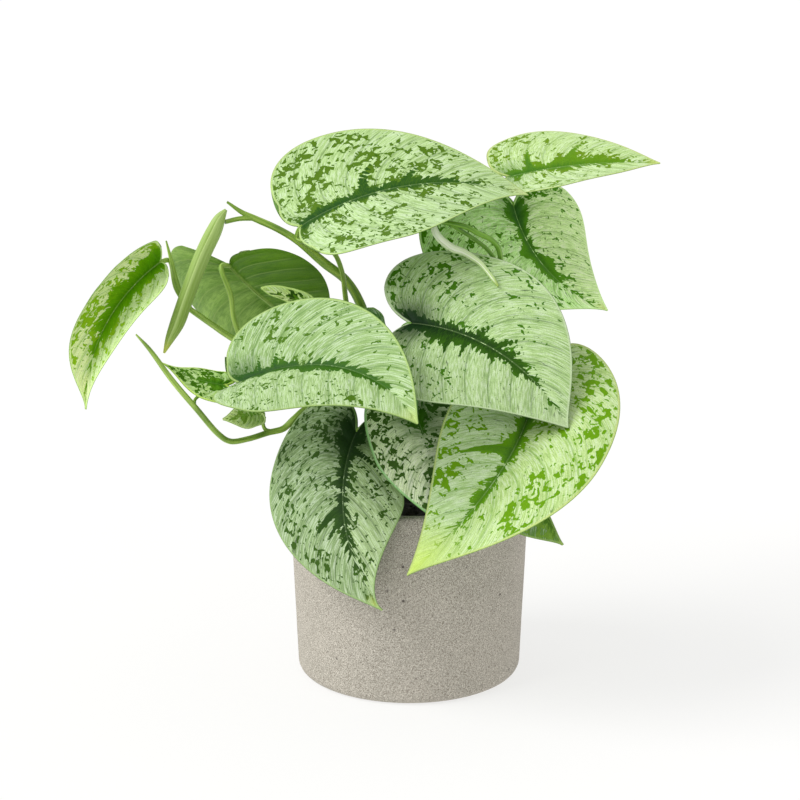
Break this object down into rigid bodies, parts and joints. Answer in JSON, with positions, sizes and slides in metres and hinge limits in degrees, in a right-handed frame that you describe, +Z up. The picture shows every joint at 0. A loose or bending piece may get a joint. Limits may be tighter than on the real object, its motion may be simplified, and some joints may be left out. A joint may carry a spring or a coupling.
{
  "type": "satin pothos in a round concrete pot",
  "caption": "Satin pothos with silver-splashed heart-shaped leaves and trailing stems, growing in soil in a plain round grey concrete pot.",
  "frame": {"origin": "middle of the underside of the pot, on the surface that it stands on", "axes": "+Z up, -Y towards the front of the plant, where most blades face, +X to the right as seen from the front"},
  "size_m": [0.2926, 0.1911, 0.2671],
  "materials": {
    "concrete": "matte cast concrete, warm grey, with fine sand and pinholes",
    "potting_soil": "loose dark potting compost",
    "stem_dark": "smooth satin green stem",
    "stem_light": "smooth satin light green stem",
    "leaf_light": "satin silver-green blade with mid-green blotches and midrib band",
    "leaf_silver": "satin silvery blade with a dark jagged midrib band and silky streaks",
    "leaf_deep": "satin blue-green and silver blade with dark blotches",
    "leaf_lime": "satin lime and silver blade with bright green blotches",
    "leaf_banded": "satin blade, silver towards the margins and deep green along the midrib",
    "leaf_shade": "dark green blade with faint streaks",
    "leaf_underside": "plain mid-green underside with raised veins",
    "leaf_new": "pale yellow-green young blade",
    "sheath": "thin pale papery sheath"
  },
  "bodies": {
    "root": {"pot": "concrete", "soil": "potting_soil", "stem_vine_upper": "stem_dark", "stem_left_back": "stem_light", "stem_lower": "stem_light", "stem_right": "stem_dark", "leaf_crown": "leaf_light", "leaf_far_right": "leaf_light", "leaf_right_back": "leaf_light", "leaf_centre": "leaf_silver", "leaf_left": "leaf_silver", "leaf_front_left": "leaf_deep", "leaf_front_right": "leaf_lime", "leaf_front_middle": "leaf_deep", "leaf_outer_left": "leaf_banded", "leaf_underside": "leaf_underside", "leaf_vine_small": "leaf_banded", "leaf_right_small": "leaf_banded", "leaf_shoulder": "leaf_shade", "leaf_curled_small": "leaf_new", "leaf_sliver": "leaf_new", "sheath_pale": "sheath", "leaf_rolled": "leaf_new"}
  },
  "joints": []
}
